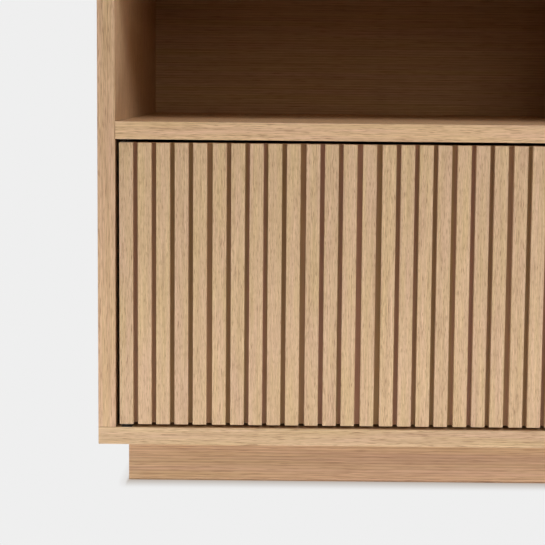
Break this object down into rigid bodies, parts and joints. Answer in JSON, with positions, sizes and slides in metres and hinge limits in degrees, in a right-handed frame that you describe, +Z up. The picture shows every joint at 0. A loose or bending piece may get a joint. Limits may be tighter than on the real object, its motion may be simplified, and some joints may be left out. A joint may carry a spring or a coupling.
{
  "type": "media cabinet",
  "caption": "Low oak-veneer media cabinet with open niches above slatted handleless doors, on a recessed plinth.",
  "frame": {"origin": "on the floor, under the middle of the cabinet's outline", "axes": "+X to the right along the width, +Y to the rear so that the doors face -Y, +Z up"},
  "size_m": [1.2, 0.46, 0.59],
  "materials": {
    "oak_upright": "matt lacquered oak veneer, grain upright",
    "oak_level": "matt lacquered oak veneer, grain running along the cabinet",
    "oak_plinth": "matt lacquered oak veneer, grain running along the cabinet",
    "oak_back": "matt oak veneer, grain running along the cabinet",
    "oak_slats": "matt lacquered oak slats, grain upright",
    "door_core": "matt oak veneer on board, grain upright",
    "raw_wood": "plain unfinished softwood",
    "steel": "bright zinc plate",
    "dark_steel": "satin black",
    "grey_plastic": "matt grey",
    "black_plastic": "matt black"
  },
  "bodies": {
    "cabinet": {"bottom_panel": "oak_level", "top_panel": "oak_level", "side_panel_left": "oak_upright", "side_panel_right": "oak_upright", "center_divider": "oak_upright", "plinth_front": "oak_plinth", "plinth_rear": "oak_plinth", "plinth_side_left": "oak_plinth", "plinth_side_right": "oak_plinth", "plinth_center_rail": "raw_wood", "corner_block_front_left": "raw_wood", "floor_glide_front_left": "grey_plastic", "corner_block_rear_left": "raw_wood", "floor_glide_rear_left": "grey_plastic", "niche_shelf_left": "oak_level", "back_panel_left": "oak_back", "adjustable_shelf_left": "oak_level", "back_cable_grommet_left": "black_plastic", "niche_cable_grommet_left": "black_plastic", "hinge_cabinet_leaf_lower_left": "dark_steel", "hinge_cabinet_leaf_upper_left": "dark_steel", "latch_housing_left": "grey_plastic", "latch_screw_left_outer": "steel", "latch_screw_left_inner": "steel", "shelf_pin_left_outer_front": "steel", "shelf_pin_left_outer_rear": "steel", "shelf_pin_left_inner_front": "steel", "shelf_pin_left_inner_rear": "steel", "corner_block_front_right": "raw_wood", "floor_glide_front_right": "grey_plastic", "corner_block_rear_right": "raw_wood", "floor_glide_rear_right": "grey_plastic", "niche_shelf_right": "oak_level", "back_panel_right": "oak_back", "adjustable_shelf_right": "oak_level", "back_cable_grommet_right": "black_plastic", "niche_cable_grommet_right": "black_plastic", "hinge_cabinet_leaf_lower_right": "dark_steel", "hinge_cabinet_leaf_upper_right": "dark_steel", "latch_housing_right": "grey_plastic", "latch_screw_right_outer": "steel", "latch_screw_right_inner": "steel", "shelf_pin_right_outer_front": "steel", "shelf_pin_right_outer_rear": "steel", "shelf_pin_right_inner_front": "steel", "shelf_pin_right_inner_rear": "steel"},
    "door_left": {"slatted_front_left": "oak_slats", "door_core_left": "door_core", "hinge_door_leaf_lower_left": "dark_steel", "hinge_door_leaf_upper_left": "dark_steel", "strike_plate_left": "steel"},
    "plunger_left": {"latch_plunger_left": "black_plastic"},
    "door_right": {"slatted_front_right": "oak_slats", "door_core_right": "door_core", "hinge_door_leaf_lower_right": "dark_steel", "hinge_door_leaf_upper_right": "dark_steel", "strike_plate_right": "steel"},
    "plunger_right": {"latch_plunger_right": "black_plastic"}
  },
  "joints": [
    {"name": "door_left_hinge", "type": "hinge", "parent": "cabinet", "child": "door_left", "pos_m": [-0.5705, -0.224, 0.067], "axis": [0, 0, -1], "range_deg": [0, 105]},
    {"name": "latch_left_press", "type": "slide", "parent": "cabinet", "child": "plunger_left", "axis": [0, 1, 0], "range_m": [0, 0.003], "stiffness_N_per_m": 400, "springref_m": -0.01},
    {"name": "door_right_hinge", "type": "hinge", "parent": "cabinet", "child": "door_right", "pos_m": [0.5705, -0.224, 0.067], "axis": [0, 0, 1], "range_deg": [0, 105]},
    {"name": "latch_right_press", "type": "slide", "parent": "cabinet", "child": "plunger_right", "axis": [0, 1, 0], "range_m": [0, 0.003], "stiffness_N_per_m": 400, "springref_m": -0.01}
  ]
}
